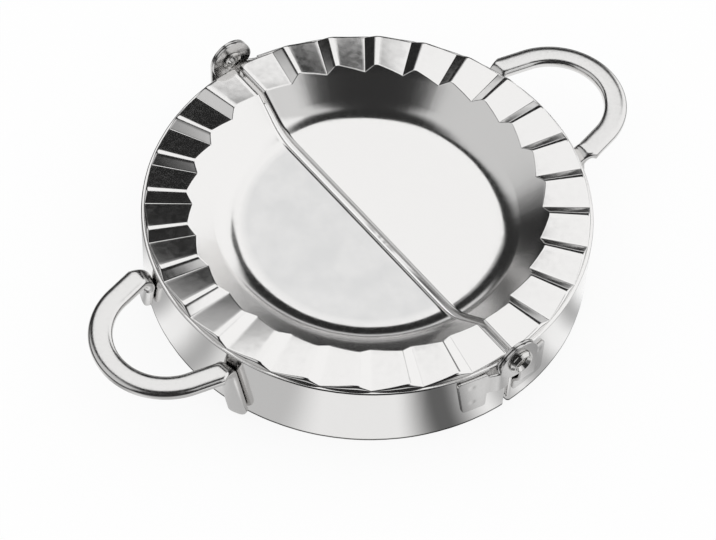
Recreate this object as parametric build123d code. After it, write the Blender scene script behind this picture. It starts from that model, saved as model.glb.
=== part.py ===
from build123d import *
import math
import os

# Empanada press of pressed stainless sheet: two identical half shells, each with a loop handle
# of flat bar and two hinge brackets, folding about two tubular rivets.
# Millimetres. X is the hinge axis, +Y points to the back handle, +Z is up, and the origin is
# in the middle of the press on the surface that it stands on.

# Pressed sheet
sheet = 0.6                 # thickness of the half shells
body_height = 18.4          # from the cutter edge to the highest crests
rim_radius = 47.5           # outer edge of the crimped ring
shoulder_radius = 0.65      # rounding between the ledge and the upright skirt
least_fold = 0.05           # smallest rounding on the inside of a fold of the sheet
ledge_drop = 1.5            # from the crests down to the ledge outside the ring
ledge_width = 0.05          # level strip between the ring's outer wall and the shoulder

# Crimped ring
crimps_per_half = 14
crimp_height = 1.2          # a crest above a valley
riser_angle = 3.5           # degrees taken by each short steep side

# Bowl
bowl_depth = 7.0            # from the crests to the flat floor
bowl_foot_radius = 30.0     # where the straight wall would meet the floor
bowl_wall_angle = 38.7      # degrees from level
floor_fillet = 10.0         # soft corner between floor and wall

# Straight edges of the halves
seam_gap = 0.76             # slot between the two turned-down edges
lip_radius = 1.0            # outer radius of the turned-down edge
lip_depth = 2.0             # how far the edge is turned down
lip_steps = 4               # flats that make up the quarter round
lip_set = 0.03              # how far the turned-down edge starts under the sheet's face

# Hinge
seal_gap = 0.8              # left between the rings when the press is shut
bracket_sheet = 0.6         # thickness of the hinge brackets
weld_seat = 0.02            # between a welded piece and the skirt
ear_radius = 4.85
ear_standoff = 1.0          # from the skirt to the inner ear
ear_clearance = 0.1         # between the inner ear and the outer ear
plate_corner = 0.8          # rounded corners of the plates
inner_plate_near = 6.4      # from the hinge line round the skirt
inner_plate_far = 13.3
inner_plate_taper = 1.8     # how much narrower the plate is at its lower edge
inner_plate_high = 2.0      # upper edge below the hinge line
inner_plate_low = 13.0      # lower edge below the hinge line
inner_arm_start = 4.0       # from the hinge line to where the arm bends in to the skirt
inner_arm_high = 2.7
inner_arm_low = 8.4
outer_plate_near = 0.8
outer_plate_far = 9.4
outer_plate_high = 10.1
outer_plate_low = 13.5
outer_wing_near = 5.9       # part of the outer plate that stands higher
outer_wing_high = 3.7
outer_neck_width = 4.1
joggle_height = 2.1         # height over which the neck bends out to the ear

# Tubular rivets
rivet_radius = 1.8
rivet_wall = 0.45
rivet_play = 0.05           # radial and axial play in the ears
rivet_head_radius = 2.8
rivet_head_height = 1.2
rivet_roll_radius = 2.3     # rolled end inside the ears
rivet_roll_height = 0.4
rivet_head_bevel = 0.25     # slope round each end
rivet_funnel = 0.7          # how far the tube flares at the outer head

# Handles
bar_width = 4.7
bar_height = 2.4
bar_rounding = 1.1
handle_drop = 3.0           # from the crests down to the bar's upper face
loop_reach = 4.1            # from the skirt to the centre of the loop
loop_radius = 13.9          # centreline of the loop
bend_radius = 2.2           # centreline radius where the bar turns down
bend_steps = 3              # straight pieces that make up the bend
leg_spread = 2.3            # sideways from the loop's centreline to the top of each leg
leg_splay = 15.0            # degrees that each leg leans away from the handle's own line
leg_bottom = 0.9            # lower end of the leg at the end of the half with the highest crimp
short_leg_bottom = 4.6      # lower end of the other leg

# Values that follow from the sizes above
skirt_radius = rim_radius + ledge_width + shoulder_radius
crest_z = body_height
valley_z = body_height - crimp_height
ledge_z = body_height - ledge_drop
floor_z = body_height - bowl_depth
hinge_z = crest_z + (seal_gap - crimp_height) / 2
half_gap = seam_gap / 2
lip_end = half_gap + lip_radius
wall_slope = math.tan(math.radians(bowl_wall_angle))
corner_growth = math.tan(math.radians(bowl_wall_angle / 2))
crimp_angle = 180 / crimps_per_half
seam_angle = math.degrees(math.asin(lip_end / bowl_foot_radius))   # ring stays level up to here
loop_centre = skirt_radius + loop_reach
bar_z = crest_z - handle_drop - bar_height / 2
leg_distance = skirt_radius + weld_seat + bar_height / 2
leg_place = math.asin((loop_radius + leg_spread) / (leg_distance + bend_radius))
inner_ear_x = skirt_radius + ear_standoff
outer_ear_x = inner_ear_x + bracket_sheet + ear_clearance
margin = 2.0                # how far cutting solids run past what they cut


def on_circle(radius, angle, z):
    """Point at a radius and an angle in degrees from +X."""
    turn = math.radians(angle)
    return (radius * math.cos(turn), radius * math.sin(turn), z)


def wall_radius(depth, z):
    """Radius of the bowl wall at a height, for the surface that lies depth under the sheet's top."""
    foot = bowl_foot_radius + depth * corner_growth
    return foot + (z - floor_z + depth) / wall_slope


def side_points(depth, top_z, y):
    """Section corners from the skirt's foot to the floor, at a depth under the sheet's top."""
    def across(radius):
        return math.sqrt(radius ** 2 - y ** 2)

    bend = max(shoulder_radius - depth, least_fold)
    shoulder = across(skirt_radius - depth - bend)
    shoulder_z = ledge_z - depth - bend
    tangent = (floor_fillet + depth) * corner_growth
    foot = bowl_foot_radius + depth * corner_growth
    slope = math.radians(bowl_wall_angle)
    half_slope = slope / 2
    reach = tangent * math.cos(slope)
    sag = (floor_fillet + depth) * math.sin(half_slope)
    low = floor_z - depth
    return {
        "skirt": (across(skirt_radius - depth), shoulder_z),
        "shoulder_mid": (shoulder + bend * math.cos(math.pi / 4),
                         shoulder_z + bend * math.sin(math.pi / 4)),
        "shoulder": (shoulder, ledge_z - depth),
        "ring_foot": (across(rim_radius - depth), ledge_z - depth),
        "ring_edge": (across(rim_radius - depth), top_z - depth),
        "wall_top": (across(wall_radius(depth, top_z - depth)), top_z - depth),
        "wall_foot": (across(foot + reach), low + tangent * math.sin(slope)),
        "floor_mid": (across(foot - tangent + sag),
                      low + (floor_fillet + depth) * (1 - math.cos(half_slope))),
        "floor": (across(foot - tangent), low),
    }


def side_edges(points, bottom, side):
    """Edges of one side of a section in the XZ plane, from the skirt's foot to the floor."""
    at = {name: (side * x, z) for name, (x, z) in points.items()}
    foot = (at["skirt"][0], bottom)
    return [
        Line(foot, at["skirt"]),
        ThreePointArc(at["skirt"], at["shoulder_mid"], at["shoulder"]),
        Line(at["shoulder"], at["ring_foot"]),
        Line(at["ring_foot"], at["ring_edge"]),
        Line(at["ring_edge"], at["wall_top"]),
        Line(at["wall_top"], at["wall_foot"]),
        ThreePointArc(at["wall_foot"], at["floor_mid"], at["floor"]),
    ]


def seam_section(depth, y, bottom):
    """Whole section of a half across the hinge line: low at the +X end, high at the -X end."""
    right = side_points(depth, valley_z, y)
    left = side_points(depth, crest_z, y)
    right_foot = (right["skirt"][0], bottom)
    left_foot = (-left["skirt"][0], bottom)
    edges = side_edges(right, bottom, 1)
    edges.append(Line(right["floor"], (-left["floor"][0], left["floor"][1])))
    edges += side_edges(left, bottom, -1)
    edges.append(Line(left_foot, right_foot))
    plane = Plane(origin=(0, y, 0), x_dir=(1, 0, 0), z_dir=(0, -1, 0))
    return plane * make_face(edges)


def seam_slab(depth, bottom):
    """Solid under the rounded seam edge, from its outer face to the end of the rounding."""
    radius = lip_radius - depth
    start = depth + lip_set
    sections = []
    for step in range(lip_steps + 1):
        turn = math.pi / 2 * step / lip_steps
        y = half_gap + depth + radius * (1 - math.cos(turn))
        sections.append(seam_section(start + (lip_radius - start) * (1 - math.sin(turn)), y, bottom))
    return loft(sections, ruled=True)


def ring_wedge(start, start_z, end, end_z):
    """Solid above one flank of the crimped ring, to be cut away."""
    cap = crest_z + 2 * margin
    faces = []
    for radius in (bowl_foot_radius + margin, skirt_radius + margin):
        corners = [on_circle(radius, start, start_z), on_circle(radius, end, end_z),
                   on_circle(radius, end, cap), on_circle(radius, start, cap)]
        faces.append(make_face(Polyline(*corners, close=True)))
    return loft(faces, ruled=True)


def ring_cutters(depth):
    """Everything above the saw-toothed ring: long rising treads and short falling risers."""
    low = valley_z - depth
    high = crest_z - depth
    corners = [(-crimp_angle / 2, low), (seam_angle, low)]
    for index in range(1, crimps_per_half):
        riser = index * crimp_angle
        corners += [(riser - riser_angle / 2, high), (riser + riser_angle / 2, low)]
    corners += [(180 - seam_angle, high), (180 + crimp_angle / 2, high)]
    return [ring_wedge(*start, *end) for start, end in zip(corners, corners[1:])]


def round_form(depth, bottom):
    """Solid under the pressed sheet away from the seam, at a depth under the sheet's top."""
    points = side_points(depth, crest_z + margin, 0)
    edges = side_edges(points, bottom, 1)
    edges.append(Line(points["floor"], (0, floor_z - depth)))
    edges.append(Line((0, floor_z - depth), (0, bottom)))
    edges.append(Line((0, bottom), (points["skirt"][0], bottom)))
    form = revolve(Plane.XZ * make_face(edges), Axis.Z, 360)
    reach = skirt_radius + margin
    keep = Pos(0, lip_end + reach / 2, 0) * Box(2 * reach, reach, 4 * reach)
    return (form & keep) - ring_cutters(depth)


def lip_opening():
    """Solid that leaves only a short turned-down edge along the seam."""
    side = skirt_radius - lip_depth
    top = ledge_z - lip_depth
    wall = wall_radius(lip_depth, top)
    foot = bowl_foot_radius + lip_depth * corner_growth
    low = floor_z - lip_depth
    corners = [(side, -margin), (side, top), (wall, top), (foot, low),
               (-foot, low), (-wall, top), (-side, top), (-side, -margin)]
    section = Plane.XZ * make_face(Polyline(*corners, close=True))
    return extrude(section, half_gap + lip_radius / 2 + sheet / 2, dir=(0, 1, 0))


def half_shell():
    """One pressed half: bowl, crimped ring, shoulder, skirt and turned-down seam edge."""
    form = round_form(0, 0) + seam_slab(0, 0)
    return form - [round_form(sheet, -margin), seam_slab(sheet, -margin), lip_opening()]


def bar_section(centre, direction, width_direction):
    """Rounded section of the handle bar, square to a direction."""
    plane = Plane(origin=centre, x_dir=width_direction, z_dir=direction)
    return plane * RectangleRounded(bar_width, bar_height, bar_rounding)


def handle_side(bottom):
    """Half of the loop, straight run, bend and leg of the handle's +X side."""
    outward = Vector(math.sin(leg_place), math.cos(leg_place), 0)
    sideways = Vector(math.cos(leg_place), -math.sin(leg_place), 0)
    splay = math.radians(leg_splay)
    down = sideways * math.sin(splay) + Vector(0, 0, -math.cos(splay))
    across = sideways * math.cos(splay) + Vector(0, 0, math.sin(splay))
    knee_z = bar_z - bend_radius
    centre_z = (knee_z + leg_bottom) / 2
    knee = outward * leg_distance + Vector(0, 0, centre_z)
    knee -= down * ((knee_z - centre_z) / math.cos(splay))
    run_end = knee + outward * bend_radius + Vector(0, 0, bend_radius)

    loop = Vector(0, loop_centre, bar_z)
    offset = run_end - loop
    swing = math.acos(loop_radius / offset.length)
    loop_end = math.atan2(offset.Y, offset.X) + swing
    run_start = loop + Vector(math.cos(loop_end), math.sin(loop_end), 0) * loop_radius
    run = run_end - run_start
    run_across = Vector(math.cos(loop_end), math.sin(loop_end), 0)

    bend = []
    for step in range(bend_steps + 1):
        part = math.pi / 2 * step / bend_steps
        centre = knee + outward * (bend_radius * (1 - math.sin(part)))
        centre += Vector(0, 0, bend_radius * math.cos(part))
        direction = run.normalized() * math.cos(part) + down * math.sin(part)
        width = run_across * math.cos(part) + across * math.sin(part)
        bend.append(bar_section(centre, direction, width))
    leg_length = (knee_z - bottom) / math.cos(splay)
    pieces = [extrude(bar_section(run_start, run, run_across), run.length, dir=run.normalized()),
              loft(bend, ruled=True),
              extrude(bar_section(knee, down, across), leg_length, dir=down)]
    swing_end = math.degrees(loop_end)
    start = Pos(0, loop_centre, bar_z) * Rot(0, 0, swing_end) * Pos(loop_radius, 0, 0)
    section = start * (Plane.XZ * RectangleRounded(bar_width, bar_height, bar_rounding))
    loop_axis = Axis((0, loop_centre, 0), (0, 0, 1))
    return revolve(section, loop_axis, 90 - swing_end) + pieces


def handle():
    """Flat bar bent into a loop, with two splayed legs welded to the skirt."""
    return handle_side(short_leg_bottom) + mirror(handle_side(leg_bottom), Plane.YZ)


def skirt_plate(near, far, low, high, taper=0):
    """Plate bent to the skirt's curve at the +X end; low and high are below the hinge line."""
    inner = skirt_radius + weld_seat
    ring = Cylinder(inner + bracket_sheet, 2 * body_height) - Cylinder(inner, 2 * body_height)
    corners = [(near, hinge_z - low), (far - taper, hinge_z - low), (far, hinge_z - high),
               (near, hinge_z - high)]
    outline = make_face(Polyline(*corners, close=True))
    face = Plane.YZ * fillet(outline.vertices(), plate_corner)
    return ring & extrude(face, 2 * skirt_radius, dir=(1, 0, 0))


def ear(start_x):
    """Round ear of a bracket with its rivet hole."""
    place = Pos(start_x + bracket_sheet / 2, 0, hinge_z) * Rot(0, 90, 0)
    return place * Cylinder(ear_radius, bracket_sheet)


def rivet_hole():
    """Hole through both ears, with running play round the rivet."""
    return Pos(skirt_radius, 0, hinge_z) * Rot(0, 90, 0) * Cylinder(rivet_radius + rivet_play, body_height)


def inner_bracket():
    """Bracket with the inner ear, for the +X end of a half on the +Y side."""
    inner = skirt_radius + weld_seat
    outer = inner + bracket_sheet
    meet = inner_plate_near + bracket_sheet / 2
    ear_face = inner_ear_x + bracket_sheet
    corners = [(inner_ear_x, rivet_radius), (inner_ear_x, inner_arm_start),
               (math.sqrt(inner ** 2 - meet ** 2), meet), (math.sqrt(outer ** 2 - meet ** 2), meet),
               (ear_face, inner_arm_start), (ear_face, rivet_radius)]
    section = Pos(0, 0, hinge_z - inner_arm_low) * make_face(Polyline(*corners, close=True))
    arm = extrude(section, inner_arm_low - inner_arm_high)
    plate = skirt_plate(inner_plate_near, inner_plate_far, inner_plate_low, inner_plate_high,
                        inner_plate_taper)
    return plate + arm + ear(inner_ear_x) - rivet_hole()


def outer_bracket():
    """Bracket with the outer ear, joggled clear of the inner ear, for the +X end on the +Y side."""
    inner = skirt_radius + weld_seat
    outer = inner + bracket_sheet
    top = hinge_z - outer_plate_high
    knee = top + joggle_height
    foot = top - plate_corner
    corners = [(outer_ear_x, hinge_z), (outer_ear_x, knee), (inner, top), (inner, foot),
               (outer, foot), (outer, top), (outer_ear_x + bracket_sheet, knee),
               (outer_ear_x + bracket_sheet, hinge_z)]
    section = Plane.XZ * make_face(Polyline(*corners, close=True))
    neck = extrude(Pos(0, outer_plate_near, 0) * section, outer_neck_width, dir=(0, 1, 0))
    plate = skirt_plate(outer_plate_near, outer_plate_far, outer_plate_low, outer_plate_high)
    wing = skirt_plate(outer_wing_near, outer_plate_far, outer_plate_low, outer_wing_high)
    return plate + wing + neck + ear(outer_ear_x) - rivet_hole()


def rivet():
    """Tubular rivet at the +X end: shank, rolled inner end and outer head with a flared mouth."""
    bore = rivet_radius - rivet_wall
    inner_x = inner_ear_x - rivet_play
    roll_x = inner_x - rivet_roll_height
    outer_x = outer_ear_x + bracket_sheet + rivet_play
    head_x = outer_x + rivet_head_height
    mouth = rivet_head_radius - rivet_head_bevel
    corners = [(roll_x, bore), (roll_x, rivet_roll_radius - rivet_head_bevel),
               (roll_x + rivet_head_bevel, rivet_roll_radius), (inner_x, rivet_roll_radius),
               (inner_x, rivet_radius), (outer_x, rivet_radius), (outer_x, rivet_head_radius),
               (head_x - rivet_head_bevel, rivet_head_radius), (head_x, mouth),
               (head_x, bore + rivet_funnel), (head_x - rivet_funnel, bore)]
    section = make_face(Polyline(*corners, close=True))
    return Pos(0, 0, hinge_z) * revolve(section, Axis.X, 360)


def turned(shape):
    """The same piece on the opposite side, half a turn about the middle."""
    return Rot(0, 0, 180) * shape


def build_parts():
    """Every node of the press, by name."""
    shell = half_shell()
    bar = handle()
    outer = outer_bracket()
    inner = mirror(inner_bracket(), Plane.YZ)
    pin = rivet()
    return {
        "back_half_shell": shell,
        "front_half_shell": turned(shell),
        "back_handle": bar,
        "front_handle": turned(bar),
        "back_outer_bracket": outer,
        "front_outer_bracket": turned(outer),
        "back_inner_bracket": inner,
        "front_inner_bracket": turned(inner),
        "near_rivet": pin,
        "far_rivet": turned(pin),
    }


os.makedirs("parts", exist_ok=True)
for name, shape in build_parts().items():
    export_step(shape, f"parts/{name}.step")
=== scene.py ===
import math

import bmesh
import bpy
import numpy as np
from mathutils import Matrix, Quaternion, Vector


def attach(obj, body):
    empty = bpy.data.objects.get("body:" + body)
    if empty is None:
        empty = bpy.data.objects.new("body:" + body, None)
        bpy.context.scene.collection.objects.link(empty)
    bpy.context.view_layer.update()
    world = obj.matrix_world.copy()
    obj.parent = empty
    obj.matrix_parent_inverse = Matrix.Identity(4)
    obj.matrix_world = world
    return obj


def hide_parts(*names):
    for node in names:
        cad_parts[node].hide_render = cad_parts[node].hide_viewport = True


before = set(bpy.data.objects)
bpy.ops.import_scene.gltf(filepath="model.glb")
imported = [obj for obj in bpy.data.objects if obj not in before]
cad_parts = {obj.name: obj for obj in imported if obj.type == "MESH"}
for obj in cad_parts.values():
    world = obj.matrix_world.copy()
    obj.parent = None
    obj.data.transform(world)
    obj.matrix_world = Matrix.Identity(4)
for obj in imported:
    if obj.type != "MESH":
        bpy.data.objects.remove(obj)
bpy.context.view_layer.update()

# Empanada press of pressed stainless sheet. The frame is the CAD model's: X is the hinge axis,
# +Y points to the back handle, +Z is up, and the press stands on Z = 0. Shapes are worked out in
# millimetres and put into Blender in metres. Each shape is made for the back half (Y > 0); the
# front half is the same pressing turned half a turn about Z.
MM = 0.001

# ---------------------------------------------------------------- sizes, in millimetres

sheet = 0.6
crest_z = 18.4
crimp_height = 1.2
valley_z = crest_z - crimp_height
seam_z = crest_z - crimp_height / 2     # the ring at the hinge line
ledge_z = 16.9
floor_z = 11.4
rim_radius = 47.5
skirt_radius = 48.2
shoulder_radius = 0.65
least_fold = 0.05
crimps_per_half = 14
crimp_angle = math.pi / crimps_per_half
riser_angle = math.radians(3.5)
crest_rounding = 2.6         # along the ring, where a tread turns down into a riser
valley_rounding = 0.4
ring_inner_rounding = 0.5    # across the ring, at its inner edge
ring_outer_rounding = 0.8
ring_foot_rounding = 0.12
ring_middle = 43.0           # radius at which the crimps' outline is measured
bowl_foot_radius = 30.0
bowl_wall_angle = math.radians(38.7)
floor_fillet = 10.0
wall_slope = math.tan(bowl_wall_angle)
corner_growth = math.tan(bowl_wall_angle / 2)

half_gap = 0.38              # from the hinge line to the turned-down edge
front_lips = (0.85, 1.6)     # radius of the turned-down edge in the ring and in the bowl's floor
back_lips = (0.75, 0.75)     # the edge that the photo shows narrower
lip_depth = 2.0

hinge_z = 18.2
ear_radius = 4.85
inner_ear_x = 49.2
outer_ear_x = 49.9
weld_seat = 0.02
plate_radius = skirt_radius + weld_seat + sheet / 2     # middle of a plate's thickness

# ---------------------------------------------------------------- helpers


def colour(value):
    """Linear colour of an sRGB hex value."""
    parts = [int(value[i:i + 2], 16) / 255 for i in (1, 3, 5)]
    return tuple(c / 12.92 if c <= 0.04045 else ((c + 0.055) / 1.055) ** 2.4 for c in parts) + (1.0,)


def add_node(tree, kind, inputs=None, **settings):
    """Add a node with its settings; an input is a value or the socket that feeds it."""
    new = tree.nodes.new(kind)
    for name, value in settings.items():
        setattr(new, name, value)
    for name, value in (inputs or {}).items():
        if isinstance(value, bpy.types.NodeSocket):
            tree.links.new(value, new.inputs[name])
        else:
            new.inputs[name].default_value = value
    return new


def direction(azimuth, elevation):
    """Unit vector towards an azimuth from +X and an elevation, in degrees."""
    turn, rise = math.radians(azimuth), math.radians(elevation)
    return Vector((math.cos(turn) * math.cos(rise), math.sin(turn) * math.cos(rise), math.sin(rise)))


def rounded_lines(corners, radii, arc_steps, shares):
    """Lines with rounded corners, several at once: corners is (lines, corners, 2).

    At a corner whose two sides make the angle A, an arc of radius R starts R / tan(A / 2) along
    each side, but never past 0.45 of it. Its centre lies R / sin(A / 2) along the bisector, and
    its points are spread evenly in angle. Each straight run is cut at the given shares of it.
    """
    at = corners[:, 1:-1]
    before = corners[:, :-2] - at
    after = corners[:, 2:] - at
    before_length = np.linalg.norm(before, axis=-1)
    after_length = np.linalg.norm(after, axis=-1)
    before = before / before_length[..., None]
    after = after / after_length[..., None]
    angle = np.arccos(np.clip((before * after).sum(-1), -1, 1))
    reach = np.minimum(radii / np.tan(angle / 2), 0.45 * np.minimum(before_length, after_length))
    radius = reach * np.tan(angle / 2)
    middle = before + after
    middle /= np.linalg.norm(middle, axis=-1)[..., None]
    centre = at + middle * (radius / np.sin(angle / 2))[..., None]
    start = at + before * reach[..., None] - centre
    end = at + after * reach[..., None] - centre
    turn = (np.pi - angle)[..., None, None]
    part = np.linspace(0, 1, arc_steps + 1)[:, None]
    arcs = (np.sin((1 - part) * turn) * start[:, :, None]
            + np.sin(part * turn) * end[:, :, None]) / np.sin(turn) + centre[:, :, None]
    runs_start = np.concatenate([corners[:, :1], arcs[:, :, -1]], axis=1)
    runs_end = np.concatenate([arcs[:, :, 0], corners[:, -1:]], axis=1)
    pieces = [corners[:, :1]]
    for index, run_shares in enumerate(shares):
        along = np.asarray(run_shares)[None, :, None]
        pieces.append(runs_start[:, index, None] * (1 - along) + runs_end[:, index, None] * along)
        pieces.append(arcs[:, index] if index < arcs.shape[1] else corners[:, -1:])
    return np.concatenate(pieces, axis=1)


def grid_faces(columns, rows, first=0, wrap=False):
    """Quads of a grid whose vertices are numbered row by row within each column."""
    column = np.arange(columns if wrap else columns - 1)[:, None]
    row = np.arange(rows - 1)[None, :]
    following = (column + 1) % columns
    corner = column * rows + row
    beside = following * rows + row
    return np.stack([corner, beside, beside + 1, corner + 1], axis=-1).reshape(-1, 4) + first


def add_mesh(name, points, faces, sharp=math.radians(50)):
    """Mesh object from points in millimetres: doubles merged, faces outwards, smooth but for sharp edges."""
    mesh = bpy.data.meshes.new(name)
    mesh.from_pydata((points * MM).tolist(), [], faces.tolist())
    work = bmesh.new()
    work.from_mesh(mesh)
    bmesh.ops.remove_doubles(work, verts=work.verts, dist=2e-6)
    bmesh.ops.recalc_face_normals(work, faces=work.faces)
    work.to_mesh(mesh)
    work.free()
    mesh.shade_smooth()
    mesh.set_sharp_from_angle(angle=sharp)
    new = bpy.data.objects.new(name, mesh)
    bpy.context.scene.collection.objects.link(new)
    return new


def dress(piece, body, node, material):
    """Give a finished piece its material in a slot of its own and its body, and hide its CAD node."""
    piece.data.materials.clear()
    piece.data.materials.append(material)
    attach(piece, body)
    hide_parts(node)
    return piece


half_turn = np.array([-1.0, -1.0, 1.0])
mirror_x = np.array([-1.0, 1.0, 1.0])
unturned = np.array([1.0, 1.0, 1.0])

# ---------------------------------------------------------------- camera

view_azimuth = -40.4         # where the camera stands, from +X
view_elevation = 53.62
view_roll = 3.35
view_distance = 541.7 * MM
view_target = Vector((12.94, -12.71, crest_z)) * MM
lens_ratio = 2600 / 716      # focal length over the width of the picture
sensor_width = 36.0

camera_data = bpy.data.cameras.new("camera")
camera_data.sensor_fit = "HORIZONTAL"
camera_data.sensor_width = sensor_width
camera_data.lens = lens_ratio * sensor_width
camera_data.clip_start = 0.01
camera = bpy.data.objects.new("camera", camera_data)
bpy.context.scene.collection.objects.link(camera)
bpy.context.scene.camera = camera
back = direction(view_azimuth, view_elevation)
camera.location = view_target + back * view_distance
camera.rotation_mode = "QUATERNION"
camera.rotation_quaternion = Quaternion(back, math.radians(view_roll)) @ back.to_track_quat("Z", "Y")
bpy.context.scene.view_settings.view_transform = "Standard"

# ---------------------------------------------------------------- light and floor

# What the polished metal reflects: black cloth all round the table, and softboxes. Azimuth and
# elevation of the middle, half width and half height, softness of the edge, all in degrees, and
# brightness. Light that isn't a reflection comes evenly from all round at strength 1.
cloth_level = 0.02
softboxes = [
    (72, 24, 44, 43, 3, 1.12),       # right
    (17, 42, 11, 30, 6, 0.8),        # its fainter end
    (162, 39.5, 12, 2.5, 3, 0.5),    # behind, soft lower left end
    (138, 58.5, 36, 17, 1.5, 1.1),   # behind and above
    (238, 44, 41, 25, 8, 0.7),       # left, further away
    (139, 12, 26, 3, 2.5, 0.8),      # low strip behind
    (158, 12, 6, 4, 3, 0.9),         # its taller end
    (117.5, 40.5, 5.5, 5, 1.5, 0.1),     # gap between the boxes
]

world = bpy.data.worlds.new("studio")
bpy.context.scene.world = world
world.use_nodes = True
tree = world.node_tree
tree.nodes.clear()
sky = add_node(tree, "ShaderNodeSeparateXYZ", {
    "Vector": add_node(tree, "ShaderNodeTexCoord").outputs["Generated"]})
azimuth = add_node(tree, "ShaderNodeMath", {0: sky.outputs["Y"], 1: sky.outputs["X"]}, operation="ARCTAN2")
elevation = add_node(tree, "ShaderNodeMath", {0: sky.outputs["Z"]}, operation="ARCSINE")


def angle_mask(tree, angle, middle, half, edge):
    """1 where an angle is within half of the middle, falling softly to 0; all but angle in degrees."""
    from_middle = add_node(tree, "ShaderNodeMath", {0: angle.outputs[0], 1: math.radians(middle)},
                           operation="SUBTRACT")
    around = add_node(tree, "ShaderNodeMath", {0: from_middle.outputs[0], 1: math.pi, 2: -math.pi},
                      operation="WRAP")
    size = add_node(tree, "ShaderNodeMath", {0: around.outputs[0]}, operation="ABSOLUTE")
    return add_node(tree, "ShaderNodeMapRange", {
        "Value": size.outputs[0], "From Min": math.radians(half - edge), "From Max": math.radians(half + edge),
        "To Min": 1.0, "To Max": 0.0}, interpolation_type="SMOOTHSTEP").outputs[0]


reflected = cloth_level
for across_middle, up_middle, half_width, half_height, edge, level in softboxes:
    inside = add_node(tree, "ShaderNodeMath", {
        0: angle_mask(tree, azimuth, across_middle, half_width, edge),
        1: angle_mask(tree, elevation, up_middle, half_height, edge)}, operation="MULTIPLY")
    reflected = add_node(tree, "ShaderNodeMix", {
        "Factor": inside.outputs[0], "A": reflected, "B": level}).outputs["Result"]
path = add_node(tree, "ShaderNodeLightPath")
strength = add_node(tree, "ShaderNodeMix", {"Factor": path.outputs["Is Glossy Ray"], "A": 1.0, "B": reflected})
background = add_node(tree, "ShaderNodeBackground", {
    "Color": colour("#FFFFFF"), "Strength": strength.outputs["Result"]})
add_node(tree, "ShaderNodeOutputWorld", {"Surface": background.outputs["Background"]})

# Floor: white paper that keeps a light shadow. The camera sees it white; the metal sees it with painted shade
# in patches round the press, for the floor's shading near it: azimuth of the middle, half width, softness of the
# edge, and brightness.
camera_glow = 0.88
painted_floor_shades = [
    (226, 9, 6, 0.6),
    (250, 4, 4, 0.5),
    (271, 5, 5, 0.5),
    (293, 12, 6, 0.62),
    (343, 7, 6, 0.14),
    (1, 3, 3, 0.6),
    (14, 5, 4, 0.48),
    (33.5, 4, 4, 0.5),
    (60, 7, 6, 0.6),
]
# painted shade: as the metal sees the paper, it is lit near the press and darker away from the lamps
paper_lit_to, paper_dark_from, far_paper_shade = 72 * MM, 125 * MM, 0.22      # as the metal sees it
floor_size = 6.0
bpy.ops.mesh.primitive_plane_add(size=floor_size)
floor = bpy.context.object
floor.name = "floor"
paper = bpy.data.materials.new("white_paper")
paper.use_nodes = True
tree = paper.node_tree
tree.nodes.clear()
place = add_node(tree, "ShaderNodeSeparateXYZ", {
    "Vector": add_node(tree, "ShaderNodeTexCoord").outputs["Object"]})
around_press = add_node(tree, "ShaderNodeMath", {
    0: place.outputs["Y"], 1: place.outputs["X"]}, operation="ARCTAN2")
shade = 1.0
# painted shade: patches of the floor darkened for the metal's reflections, standing in for the floor's shading
# round the press
for middle, half, edge, level in painted_floor_shades:
    shade_patch = angle_mask(tree, around_press, middle, half, edge)
    shade = add_node(tree, "ShaderNodeMix", {"Factor": shade_patch, "A": shade, "B": level}).outputs["Result"]
# painted shade: the paper the metal sees darkens with distance from the press
distance = add_node(tree, "ShaderNodeVectorMath", {
    0: add_node(tree, "ShaderNodeTexCoord").outputs["Object"]}, operation="LENGTH")
fall = add_node(tree, "ShaderNodeMapRange", {
    "Value": distance.outputs["Value"], "From Min": paper_lit_to, "From Max": paper_dark_from,
    "To Min": 1.0, "To Max": far_paper_shade}, interpolation_type="SMOOTHSTEP")
shade = add_node(tree, "ShaderNodeMath", {0: shade, 1: fall.outputs[0]}, operation="MULTIPLY").outputs[0]
path = add_node(tree, "ShaderNodeLightPath")
seen_by_camera = add_node(tree, "ShaderNodeMath", {0: path.outputs["Is Camera Ray"], 1: camera_glow},
                          operation="MULTIPLY")
glow_share = add_node(tree, "ShaderNodeMath", {
    0: seen_by_camera.outputs[0], 1: path.outputs["Is Glossy Ray"]}, operation="ADD")
glow_strength = add_node(tree, "ShaderNodeMix", {
    "Factor": path.outputs["Is Glossy Ray"], "A": 1.0, "B": shade})
matt = add_node(tree, "ShaderNodeBsdfDiffuse", {"Color": colour("#FAFAFA")})
glow = add_node(tree, "ShaderNodeEmission", {
    "Color": colour("#FFFFFF"), "Strength": glow_strength.outputs["Result"]})
mixed = add_node(tree, "ShaderNodeMixShader", {
    0: glow_share.outputs[0], 1: matt.outputs["BSDF"], 2: glow.outputs["Emission"]})
add_node(tree, "ShaderNodeOutputMaterial", {"Surface": mixed.outputs["Shader"]})
floor.data.materials.append(paper)

# ---------------------------------------------------------------- materials


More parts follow.
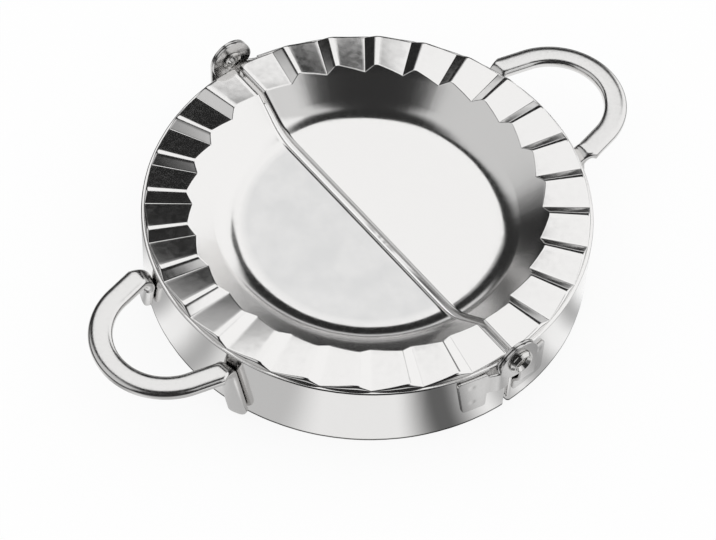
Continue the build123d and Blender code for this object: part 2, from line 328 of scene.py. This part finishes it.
def steel(name, base, roughness, wave, wave_height, grain, grain_height):
    """Bare stainless steel: metal whose surface and gloss drift with a soft wave and a fine grain.

    wave and grain are the sizes of one bump, and their heights are in millimetres too.
    """
    material = bpy.data.materials.new(name)
    material.use_nodes = True
    tree = material.node_tree
    tree.nodes.clear()
    place = add_node(tree, "ShaderNodeTexCoord").outputs["Object"]
    waves = add_node(tree, "ShaderNodeTexNoise", {"Vector": place, "Scale": 1 / (wave * MM), "Detail": 2.0})
    grains = add_node(tree, "ShaderNodeTexNoise", {"Vector": place, "Scale": 1 / (grain * MM), "Detail": 3.0})
    gloss = add_node(tree, "ShaderNodeMapRange", {
        "Value": grains.outputs["Fac"], "From Min": 0.3, "From Max": 0.7,
        "To Min": roughness * 0.75, "To Max": roughness * 1.3})
    wavy = add_node(tree, "ShaderNodeBump", {
        "Height": waves.outputs["Fac"], "Distance": wave_height * MM, "Strength": 1.0})
    grained = add_node(tree, "ShaderNodeBump", {
        "Height": grains.outputs["Fac"], "Distance": grain_height * MM, "Strength": 1.0,
        "Normal": wavy.outputs["Normal"]})
    metal = add_node(tree, "ShaderNodeBsdfPrincipled", {
        "Base Color": colour(base), "Metallic": 1.0, "Roughness": gloss.outputs[0],
        "Normal": grained.outputs["Normal"]})
    add_node(tree, "ShaderNodeOutputMaterial", {"Surface": metal.outputs["BSDF"]})
    return material, tree, place, metal, grained


# Deep-drawn stainless sheet, polished: mirror-like, with the slight waviness of drawn metal. The
# coned wall keeps the fine lines that the punch drew down it, the front pressing's bowl floor is darker
# in soft patches, and a band at the foot is rougher and painted dark as a contact shadow.
pressed_steel, tree, place, metal, grained = steel(
    "polished_drawn_stainless", "#E6E5E4", 0.11, wave=6.0, wave_height=0.02, grain=1.3, grain_height=0.0012)
draw_line = 0.3              # across one line, wider than the real ones so that it shows
draw_line_height = 0.002
draw_line_stretch = 0.06
wall_roughness = 0.17
rough_shadowed_foot = 0.55          # height of the foot band: rougher, and painted dark as a contact shadow
floor_cloud = 7.0            # size of one darker patch on the front pressing's bowl floor
split = add_node(tree, "ShaderNodeSeparateXYZ", {"Vector": place})
level = add_node(tree, "ShaderNodeCombineXYZ", {"X": split.outputs["X"], "Y": split.outputs["Y"]})
radius = add_node(tree, "ShaderNodeVectorMath", {
    0: level.outputs["Vector"]}, operation="LENGTH").outputs["Value"]
around = add_node(tree, "ShaderNodeMath", {
    0: split.outputs["Y"], 1: split.outputs["X"]}, operation="ARCTAN2")
along_ring = add_node(tree, "ShaderNodeMath", {
    0: around.outputs[0], 1: bowl_foot_radius * MM}, operation="MULTIPLY")
along_wall = add_node(tree, "ShaderNodeMath", {0: radius, 1: draw_line_stretch}, operation="MULTIPLY")
line_place = add_node(tree, "ShaderNodeCombineXYZ", {"X": along_ring.outputs[0], "Y": along_wall.outputs[0]})
lines = add_node(tree, "ShaderNodeTexNoise", {
    "Vector": line_place.outputs["Vector"], "Scale": 1 / (draw_line * MM), "Detail": 2.0})
wall_in = add_node(tree, "ShaderNodeMapRange", {
    "Value": radius, "From Min": 28 * MM, "From Max": 32 * MM}, interpolation_type="SMOOTHSTEP")
wall_out = add_node(tree, "ShaderNodeMapRange", {
    "Value": radius, "From Min": 37 * MM, "From Max": 39 * MM, "To Min": 1.0, "To Max": 0.0})
wall = add_node(tree, "ShaderNodeMath", {0: wall_in.outputs[0], 1: wall_out.outputs[0]}, operation="MULTIPLY")
wall_lines = add_node(tree, "ShaderNodeMath", {0: lines.outputs["Fac"], 1: wall.outputs[0]}, operation="MULTIPLY")
lined = add_node(tree, "ShaderNodeBump", {
    "Height": wall_lines.outputs[0], "Distance": draw_line_height * MM, "Strength": 1.0,
    "Normal": grained.outputs["Normal"]})
tree.links.new(lined.outputs["Normal"], metal.inputs["Normal"])
polished = metal.inputs["Roughness"].links[0].from_socket
drawn = add_node(tree, "ShaderNodeMix", {"Factor": wall.outputs[0], "A": polished, "B": wall_roughness})
# band at the foot: rougher, and its base colour painted dark as a contact shadow
rough_shadowed_foot_share = add_node(tree, "ShaderNodeMapRange", {
    "Value": split.outputs["Z"], "From Min": rough_shadowed_foot * 0.7 * MM, "From Max": rough_shadowed_foot * MM,
    "To Min": 1.0, "To Max": 0.0})
rough = add_node(tree, "ShaderNodeMix", {"Factor": rough_shadowed_foot_share.outputs[0], "A": drawn.outputs["Result"], "B": 0.5})
tree.links.new(rough.outputs["Result"], metal.inputs["Roughness"])
clouds = add_node(tree, "ShaderNodeTexNoise", {"Vector": place, "Scale": 1 / (floor_cloud * MM), "Detail": 3.0})
in_front = add_node(tree, "ShaderNodeMath", {0: split.outputs["Y"], 1: 0.0}, operation="LESS_THAN")
on_floor = add_node(tree, "ShaderNodeMapRange", {
    "Value": radius, "From Min": 25.5 * MM, "From Max": 27.5 * MM, "To Min": 1.0, "To Max": 0.0})
cloudy = add_node(tree, "ShaderNodeMapRange", {
    "Value": clouds.outputs["Fac"], "From Min": 0.35, "From Max": 0.65, "To Min": 0.65, "To Max": 1.0})
darker_front_floor = add_node(tree, "ShaderNodeMath", {
    0: in_front.outputs[0], 1: on_floor.outputs[0]}, operation="MULTIPLY")
front_floor_darkening = add_node(tree, "ShaderNodeMath", {
    0: darker_front_floor.outputs[0], 1: cloudy.outputs[0]}, operation="MULTIPLY")
# darker base colour in soft patches on the front pressing's bowl floor
tone = add_node(tree, "ShaderNodeMix", {
    0: front_floor_darkening.outputs[0], 6: colour("#E6E5E4"), 7: colour("#D2D2D2")}, data_type="RGBA")
# painted contact shadow: the foot band's base colour is dark
tone = add_node(tree, "ShaderNodeMix", {
    0: rough_shadowed_foot_share.outputs[0], 6: tone.outputs[2], 7: colour("#5C5B5A")}, data_type="RGBA")
tree.links.new(tone.outputs[2], metal.inputs["Base Color"])

# Flattened, bent and polished stainless bar: bright, a little duller and rounder in its reflections.
bar_steel = steel("bent_stainless_bar", "#DEDDDC", 0.17,
                  wave=4.0, wave_height=0.02, grain=0.7, grain_height=0.002)[0]
# Stamped stainless sheet as it comes from the die: satin, greyer than the polished pressing.
bracket_steel = steel("stamped_stainless_sheet", "#CDCCCB", 0.2,
                      wave=3.0, wave_height=0.012, grain=0.5, grain_height=0.002)[0]
# Flared stainless tube: bright bare steel.
rivet_steel = steel("flared_stainless_tube", "#D6D5D3", 0.16,
                    wave=2.0, wave_height=0.008, grain=0.4, grain_height=0.0015)[0]

# ---------------------------------------------------------------- half shells


def crimp_outline(ring_lip):
    """Angle and height of each column of the ring, from the +X seam to the -X seam.

    A saw tooth of long rising treads and short falling risers, drawn as a line of arc length
    along the ring's middle circle against height, with rounded crests and nearly sharp valleys.
    The treads at the two seams pass the hinge line at mid height, so they lie flatter.
    """
    first = math.asin((half_gap + ring_lip) / ring_middle)
    tread_start = math.asin((half_gap + ring_lip) / bowl_foot_radius)
    line = [(first, seam_z), (tread_start, seam_z)]
    radii = [crest_rounding]
    for index in range(1, crimps_per_half):
        riser = index * crimp_angle
        line += [(riser - riser_angle / 2, crest_z), (riser + riser_angle / 2, valley_z)]
        radii += [crest_rounding, valley_rounding]
    line += [(math.pi - tread_start, seam_z), (math.pi - first, seam_z)]
    radii.append(crest_rounding)
    corners = np.array(line)[None] * (ring_middle, 1)
    shares = [(0.5,)] + [(0.1, 0.5, 0.9)] * (len(line) - 3) + [(0.5,)]
    points = rounded_lines(corners, np.array(radii)[None], 5, shares)[0]
    return points[:, 0] / ring_middle, points[:, 1]


def profile(depth, top, floor_lip):
    """Radius and height of every row of each column, from the bowl's middle to the skirt's foot.

    The section of the pressing at a depth under the sheet's top: floor, coned wall, level tread,
    the ring's outer wall, ledge, rounded shoulder and skirt, each corner with its own radius.
    """
    foot = bowl_foot_radius + depth * corner_growth
    wall_top = foot + (top - floor_z) / wall_slope
    zero = np.zeros_like(depth)
    corners = np.stack([
        np.stack([zero + half_gap + floor_lip, floor_z - depth], -1),
        np.stack([foot, floor_z - depth], -1),
        np.stack([wall_top, top - depth], -1),
        np.stack([rim_radius - depth, top - depth], -1),
        np.stack([rim_radius - depth, ledge_z - depth], -1),
        np.stack([skirt_radius - depth, ledge_z - depth], -1),
        np.stack([skirt_radius - depth, zero], -1)], axis=1)
    radii = np.stack([floor_fillet + depth, np.maximum(ring_inner_rounding - depth, least_fold),
                      np.maximum(ring_outer_rounding - depth, least_fold), ring_foot_rounding + depth,
                      np.maximum(shoulder_radius - depth, least_fold)], axis=1)
    shares = [(0.2, 0.4, 0.6, 0.8, 0.95, 0.99), (0.02, 0.1, 0.3, 0.5, 0.7, 0.9, 0.98),
              (0.03, 0.15, 0.5, 0.85, 0.97), (0.1, 0.5, 0.9), (0.5,),
              (0.01, 0.05, 0.25, 0.5, 0.75, 0.95)]
    return rounded_lines(corners, radii, 6, shares)


def smooth_between(value, low, high):
    """0 below low and 1 above high, along 3 t t - 2 t t t between them."""
    part = np.clip((value - low) / (high - low), 0, 1)
    return part * part * (3 - 2 * part)


def seam_rounding(radius, ring_lip, floor_lip):
    """Radius of the turned-down seam edge at a radius of the bowl: wider in the floor."""
    return floor_lip + (ring_lip - floor_lip) * smooth_between(radius, 26, 37)


def shell_surface(start_depth, ring_lip, floor_lip):
    """Points of one face of the sheet, (columns, rows, 3), with both seam edges turned down.

    Between the seams a column runs at its own angle. Towards the middle of the bowl the angles
    spread to fill the half turn that is left beyond the seam edge. At a seam edge the sheet turns
    down by a quarter round: y and the depth under the sheet's top follow a circle, then y stays
    and the depth goes on to the edge's end.
    """
    angles, tops = crimp_outline(ring_lip)
    line = profile(np.full(len(angles), start_depth), tops, floor_lip)
    radius, height = line[..., 0], line[..., 1]
    first = angles[0]
    seam = np.arcsin(np.clip((half_gap + seam_rounding(radius, ring_lip, floor_lip)) / radius, 0, 1))
    share = ((angles - first) / (math.pi - 2 * first))[:, None]
    spread = seam + share * (math.pi - 2 * seam)
    near_seam = np.clip(1 - (angles - first) / math.radians(8), 0, 1)[:, None]
    shifted = angles[:, None] + (seam - first) * (near_seam - near_seam[::-1])
    outward = smooth_between(radius, 20, 36)
    turn = spread * (1 - outward) + shifted * outward
    middle = np.stack([radius * np.cos(turn), radius * np.sin(turn), height], -1)

    bend = np.linspace(math.pi / 2, 0, 13)[:-1, None]
    further = np.array([1.0, 0.9, 0.5, 0.1])[:, None]
    flat = bowl_foot_radius - floor_fillet * corner_growth
    lips = []
    for side in (1, -1):
        face, deep = profile(np.array([start_depth, lip_depth]), np.array([seam_z, seam_z]), floor_lip)
        rounding = seam_rounding(face[:, 0], ring_lip, floor_lip)
        inside = rounding - start_depth
        y = half_gap + start_depth + inside * np.concatenate([0 * further, 1 - np.sin(bend)])
        down = np.concatenate([rounding + (lip_depth - rounding) * further,
                               start_depth + inside * (1 - np.cos(bend))])
        share = ((down - start_depth) / (lip_depth - start_depth))[..., None]
        line = face * (1 - share) + deep * share
        radius, height = line[..., 0], line[..., 1]
        lip_end = half_gap + floor_lip
        on_floor = np.sqrt(np.clip((radius ** 2 - lip_end ** 2) / (flat ** 2 - lip_end ** 2), 0, 1))
        x = np.where(radius < flat, on_floor * np.sqrt(flat ** 2 - y ** 2),
                     np.sqrt(np.maximum(radius, flat) ** 2 - y ** 2))
        lips.append(np.stack([side * x, y, height], -1))
    return np.concatenate([lips[0], middle, lips[1][::-1]], axis=0)


def half_shell(name, turn, ring_lip, floor_lip):
    """One pressing: the outer and inner face of the sheet, closed along the foot and the seam edge."""
    faces, points = [], []
    for face_depth in (0.0, sheet):
        grid = shell_surface(face_depth, ring_lip, floor_lip)
        columns, rows = grid.shape[:2]
        faces.append(grid_faces(columns, rows, len(points) * columns * rows))
        points.append(grid.reshape(-1, 3))
    count = columns * rows
    foot = np.arange(columns) * rows + rows - 1
    for edge in (foot, np.arange(rows), np.arange(rows) + (columns - 1) * rows):
        faces.append(np.stack([edge[:-1], edge[1:], edge[1:] + count, edge[:-1] + count], -1))
    return add_mesh(name, np.concatenate(points) * turn, np.concatenate(faces))


for body, turn, lips in (("back_half", unturned, back_lips), ("front_half", half_turn, front_lips)):
    dress(half_shell(body + "_pressing", turn, *lips), body, body + "_shell", pressed_steel)

# ---------------------------------------------------------------- handles

bar_width = 5.1
bar_height = 2.4
bar_squareness = 3.1         # exponent of the section: 2 is an ellipse
section_points = 40
loop_centre = 52.3
loop_radius = 13.7
bar_z = 14.2
bend_radius = 2.2
leg_splay = math.radians(15.0)
leg_narrowing = 0.1          # share of the width that the pressed legs lose
leg_bottoms = (4.6, 0.9)     # lower ends of the +X and the -X leg
leg_distance = skirt_radius + weld_seat + bar_height / 2
leg_spread = 2.5             # how far a leg's top stands outside the loop's radius
leg_place = math.asin((loop_radius + leg_spread) / (leg_distance + bend_radius))
leg_end_rounding = 0.5


def bar_side(bottom):
    """Centre line of half a handle, with its direction, width direction, and inset of its section.

    From the loop's far point round the loop, along the straight run, down the quarter bend and
    down the splayed leg; at the leg's end the section shrinks along a quarter circle and closes.
    """
    outward = np.array([math.sin(leg_place), math.cos(leg_place), 0])
    sideways = np.array([math.cos(leg_place), -math.sin(leg_place), 0])
    up = np.array([0, 0, 1.0])
    down = sideways * math.sin(leg_splay) - up * math.cos(leg_splay)
    across = sideways * math.cos(leg_splay) + up * math.sin(leg_splay)
    knee_z = bar_z - bend_radius
    centre_z = (knee_z + leg_bottoms[1]) / 2
    knee = outward * leg_distance + up * centre_z - down * ((knee_z - centre_z) / math.cos(leg_splay))
    run_end = knee + outward * bend_radius + up * bend_radius
    loop = np.array([0, loop_centre, bar_z])
    offset = run_end - loop
    loop_end = math.atan2(offset[1], offset[0]) + math.acos(loop_radius / np.linalg.norm(offset))
    run_across = np.array([math.cos(loop_end), math.sin(loop_end), 0])
    run_start = loop + run_across * loop_radius
    run = (run_end - run_start) / np.linalg.norm(run_end - run_start)

    turn = np.linspace(math.pi / 2, loop_end, 41)[:-1, None]
    round_across = np.concatenate([np.cos(turn), np.sin(turn), 0 * turn], 1)
    round_along = np.concatenate([np.sin(turn), -np.cos(turn), 0 * turn], 1)
    along = np.linspace(0, 1, 9)[:-1, None]
    part = np.linspace(0, math.pi / 2, 11)[:, None]
    leg_length = (knee_z - bottom) / math.cos(leg_splay)
    leg = np.linspace(0, leg_length - leg_end_rounding, 10)[1:, None]
    end = np.linspace(0, math.pi / 2, 6)[1:, None]
    tip = knee + down * (leg_length - leg_end_rounding)
    points = [loop + round_across * loop_radius,
              run_start + along * (run_end - run_start),
              knee + outward * bend_radius * (1 - np.sin(part)) + up * bend_radius * np.cos(part),
              knee + leg * down,
              tip + leg_end_rounding * np.sin(end) * down,
              (tip + leg_end_rounding * down)[None]]
    directions = [round_along, np.tile(run, (8, 1)), run * np.cos(part) + down * np.sin(part),
                  np.tile(down, (len(leg) + len(end) + 1, 1))]
    widths = [round_across, np.tile(run_across, (8, 1)), run_across * np.cos(part) + across * np.sin(part),
              np.tile(across, (len(leg) + len(end) + 1, 1))]
    points, directions, widths = (np.concatenate(a) for a in (points, directions, widths))
    inset = np.zeros(len(points))
    inset[-6:-1] = leg_end_rounding * (1 - np.cos(end[:, 0]))
    inset[-1] = bar_height / 2
    narrow = np.ones(len(points))
    narrow[-len(leg) - 17:-len(leg) - 6] = 1 - leg_narrowing * np.linspace(0, 1, 11)
    narrow[-len(leg) - 6:] = 1 - leg_narrowing
    return points, directions, widths, inset, narrow


def bar(name, turn):
    """A flattened round section carried along the handle's centre line, from leg to leg.

    The section is the curve |x / a| to the power n plus |y / b| to the power n equals 1.
    """
    half = np.array([bar_width, bar_height]) / 2
    round_section = np.linspace(0, 2 * math.pi, section_points, endpoint=False)
    unit = np.stack([np.cos(round_section), np.sin(round_section)], 1)
    section = half * np.sign(unit) * np.abs(unit) ** (2 / bar_squareness)
    right, left = bar_side(leg_bottoms[0]), bar_side(leg_bottoms[1])
    flips = (mirror_x, -mirror_x, mirror_x)
    vectors = [np.concatenate([(b * flip)[::-1], a[1:]]) for a, b, flip in zip(right, left, flips)]
    inset, narrow = (np.concatenate([b[::-1], a[1:]]) for a, b in zip(right[3:], left[3:]))
    centre, along, width = vectors
    height = np.cross(along, width)
    height /= np.linalg.norm(height, axis=1)[:, None]
    width = np.cross(height, along)
    width /= np.linalg.norm(width, axis=1)[:, None]
    across = section[None, :, 0] * (1 - inset / half[0])[:, None] * narrow[:, None]
    across[[0, -1]] *= 0
    upward = section[None, :, 1] * (1 - inset / half[1])[:, None]
    points = centre[:, None] + across[..., None] * width[:, None] + upward[..., None] * height[:, None]
    faces = grid_faces(len(section), len(centre), wrap=True)
    return add_mesh(name, points.transpose(1, 0, 2).reshape(-1, 3) * turn, faces)


for body, turn in (("back_half", unturned), ("front_half", half_turn)):
    handle_name = body.replace("half", "handle")
    dress(bar(handle_name + "_bar", turn), body, handle_name, bar_steel)

# ---------------------------------------------------------------- rivets

rivet_radius = 1.8
rivet_bore = 1.35
rivet_play = 0.05
rivet_head_radius = 2.8
rivet_head_height = 1.2
rivet_roll_radius = 2.3
rivet_roll_height = 0.4
rivet_dome_radius = 2.35
rivet_mouth_radius = 2.1
rivet_funnel = 0.8           # depth of the flared mouth
rivet_segments = 72


def rivet(name, turn):
    """Tubular rivet: its section with rounded corners, turned about the hinge line."""
    inner_x = inner_ear_x - rivet_play
    roll_x = inner_x - rivet_roll_height
    outer_x = outer_ear_x + sheet + rivet_play
    head_x = outer_x + rivet_head_height
    middle_x = (inner_x + outer_x) / 2
    corners = np.array([
        (middle_x, rivet_bore), (roll_x, rivet_bore), (roll_x, rivet_roll_radius),
        (inner_x, rivet_roll_radius), (inner_x, rivet_radius), (outer_x, rivet_radius),
        (outer_x, rivet_head_radius), (head_x - 0.7, rivet_head_radius), (head_x, rivet_dome_radius),
        (head_x, rivet_mouth_radius), (head_x - rivet_funnel, rivet_bore), (middle_x, rivet_bore)])
    radii = np.array([0.15, 0.15, 0.1, 0.02, 0.02, 0.1, 0.8, 0.4, 0.25, 0.5])
    line = rounded_lines(corners[None], radii[None], 6, [(0.1, 0.5, 0.9)] * 11)[0][:-1]
    turns = np.linspace(0, 2 * math.pi, rivet_segments, endpoint=False)[:, None]
    points = np.stack([line[None, :, 0] + 0 * turns, line[None, :, 1] * np.cos(turns),
                       hinge_z + line[None, :, 1] * np.sin(turns)], -1)
    rows = len(line)
    faces = grid_faces(rivet_segments, rows, wrap=True)
    last = np.arange(rivet_segments) * rows
    following = np.roll(last, -1)
    closing = np.stack([last + rows - 1, following + rows - 1, following, last], -1)
    return add_mesh(name, points.reshape(-1, 3) * turn, np.concatenate([faces, closing]))


dress(rivet("near_rivet_tube", unturned), "front_half", "near_rivet", rivet_steel)
dress(rivet("far_rivet_tube", half_turn), "front_half", "far_rivet", rivet_steel)

# ---------------------------------------------------------------- hinge brackets

# Outlines of the flat blanks for the +X end of a +Y half: distance from the hinge line, height
# above it, and rounding of the corner. The ear's circle closes each outline.
rivet_hole = 1.85
blank_edge = 0.1             # rounding of the stamped edges
blank_cell = 0.3             # size of the cells that let the blank bend
bend_softness = 0.35
inner_blank = [(1.8, -8.4, 0.5), (6.4, -8.4, 0.4), (6.4, -13.0, 0.8), (11.5, -13.0, 0.8),
               (13.3, -2.0, 0.8), (6.4, -2.0, 0.8), (6.4, -2.7, 0.3)]
outer_blank = [(0.8, -13.5, 0.8), (9.4, -13.5, 0.8), (9.4, -3.7, 0.8), (5.9, -3.7, 0.8),
               (5.9, -10.1, 0.4), (4.82, -10.1, 0.4)]
inner_ear_ends = (-33.8, 291.8)      # where the outline leaves the ear's circle, in degrees
outer_ear_ends = (-4.0, 279.5)
inner_arm_start, inner_arm_end, inner_arm_foot = 4.0, 6.7, 48.06
neck_foot, neck_head, neck_side = -10.1, -8.0, 5.4
weld_radius = 0.8
weld_depth = 0.14
inner_welds = [(9.9, -4.5), (9.5, -9.9)]
outer_welds = [(7.4, -11.4), (7.7, -5.2), (4.5, -11.4)]


def smooth_max(a, b):
    """The larger of two heights, with the corner between them rounded as a hyperbola is."""
    return (a + b + np.sqrt((a - b) ** 2 + bend_softness ** 2)) / 2


def on_skirt(y):
    """Middle of a plate that lies on the skirt."""
    return np.sqrt(plate_radius ** 2 - y ** 2)


def inner_place(y, z):
    """Middle of the inner bracket: level ear, arm slanting in, and plate round the skirt."""
    ear = inner_ear_x + sheet / 2
    arm = ear - (y - inner_arm_start) / (inner_arm_end - inner_arm_start) * (ear - inner_arm_foot)
    return smooth_max(-smooth_max(-arm, -ear), on_skirt(np.clip(y, 0, None)))


def outer_place(y, z):
    """Middle of the outer bracket: plate round the skirt, neck joggled out, and level ear."""
    ear = outer_ear_x + sheet / 2
    skirt = on_skirt(y)
    neck = skirt + (z - neck_foot) / (neck_head - neck_foot) * (ear - skirt)
    return np.where(y < neck_side, smooth_max(-smooth_max(-neck, -ear), skirt), skirt)


def blank(corners, ear_ends):
    """Flat mesh, in millimetres, of a stamped blank with its rivet hole and rounded edges."""
    around = np.radians(np.linspace(*ear_ends, 90))[:, None]
    ear = ear_radius * np.concatenate([np.cos(around), np.sin(around)], 1)
    line = np.array([ear[-1]] + [corner[:2] for corner in corners] + [ear[0]])
    radii = np.array([corner[2] for corner in corners])
    side = rounded_lines(line[None], radii[None], 5, [(0.5,)] * (len(corners) + 1))[0]
    around = np.linspace(0, 2 * math.pi, 48, endpoint=False)[:, None]
    hole = rivet_hole * np.concatenate([np.cos(around), np.sin(around)], 1)
    curve = bpy.data.curves.new("blank", "CURVE")
    curve.dimensions = "2D"
    curve.fill_mode = "BOTH"
    curve.extrude = sheet / 2 - blank_edge
    curve.bevel_depth = blank_edge
    curve.bevel_resolution = 2
    curve.offset = -blank_edge
    for points in (np.concatenate([ear, side[1:-1]]), hole):
        spline = curve.splines.new("POLY")
        spline.points.add(len(points) - 1)
        flat = np.concatenate([points, np.zeros((len(points), 1)), np.ones((len(points), 1))], 1)
        spline.points.foreach_set("co", flat.ravel())
        spline.use_cyclic_u = True
    holder = bpy.data.objects.new("blank", curve)
    mesh = bpy.data.meshes.new_from_object(holder)
    bpy.data.objects.remove(holder)
    bpy.data.curves.remove(curve)
    return mesh


def bracket(name, corners, ear_ends, place, welds, turn):
    """A blank cut into small cells, then bent: every point moves out to the middle sheet's place.

    The thickness is measured square to the sheet, and each spot weld is a round dimple whose
    depth falls off as 1 minus the square of the distance over its radius.
    """
    mesh = blank(corners, ear_ends)
    work = bmesh.new()
    work.from_mesh(mesh)
    bmesh.ops.remove_doubles(work, verts=work.verts, dist=1e-4)
    for axis, start, stop in (((1, 0, 0), -ear_radius, 13.4), ((0, 1, 0), -13.5, ear_radius)):
        for distance in np.arange(start + blank_cell, stop, blank_cell):
            bmesh.ops.bisect_plane(work, geom=work.verts[:] + work.edges[:] + work.faces[:], dist=1e-4,
                                   plane_co=[distance * part for part in axis], plane_no=axis)
    work.to_mesh(mesh)
    work.free()
    flat = np.empty(len(mesh.vertices) * 3)
    mesh.vertices.foreach_get("co", flat)
    y, z, out = flat.reshape(-1, 3).T
    step = 0.01
    lean = np.hypot(place(y + step, z) - place(y - step, z),
                    place(y, z + step) - place(y, z - step)) / (2 * step)
    x = place(y, z) + out * np.sqrt(1 + np.minimum(lean, 1) ** 2)
    for weld_y, weld_z in welds:
        away = np.hypot(y - weld_y, z - weld_z) / weld_radius
        x -= weld_depth * np.clip(1 - away ** 2, 0, 1) * (out > 0)
    points = np.stack([x, y, z + hinge_z], 1) * turn * MM
    mesh.vertices.foreach_set("co", points.ravel())
    if np.prod(turn) < 0:
        mesh.flip_normals()
    mesh.shade_smooth()
    mesh.set_sharp_from_angle(angle=math.radians(40))
    mesh.name = name
    new = bpy.data.objects.new(name, mesh)
    bpy.context.scene.collection.objects.link(new)
    return new


for body, node, corners, ear_ends, place, welds, turn in (
        ("front_half", "front_inner_bracket", inner_blank, inner_ear_ends, inner_place, inner_welds,
         mirror_x * half_turn),
        ("back_half", "back_inner_bracket", inner_blank, inner_ear_ends, inner_place, inner_welds, mirror_x),
        ("front_half", "front_outer_bracket", outer_blank, outer_ear_ends, outer_place, outer_welds, half_turn),
        ("back_half", "back_outer_bracket", outer_blank, outer_ear_ends, outer_place, outer_welds, unturned)):
    dress(bracket(node + "_stamping", corners, ear_ends, place, welds, turn), body, node,
          bracket_steel)
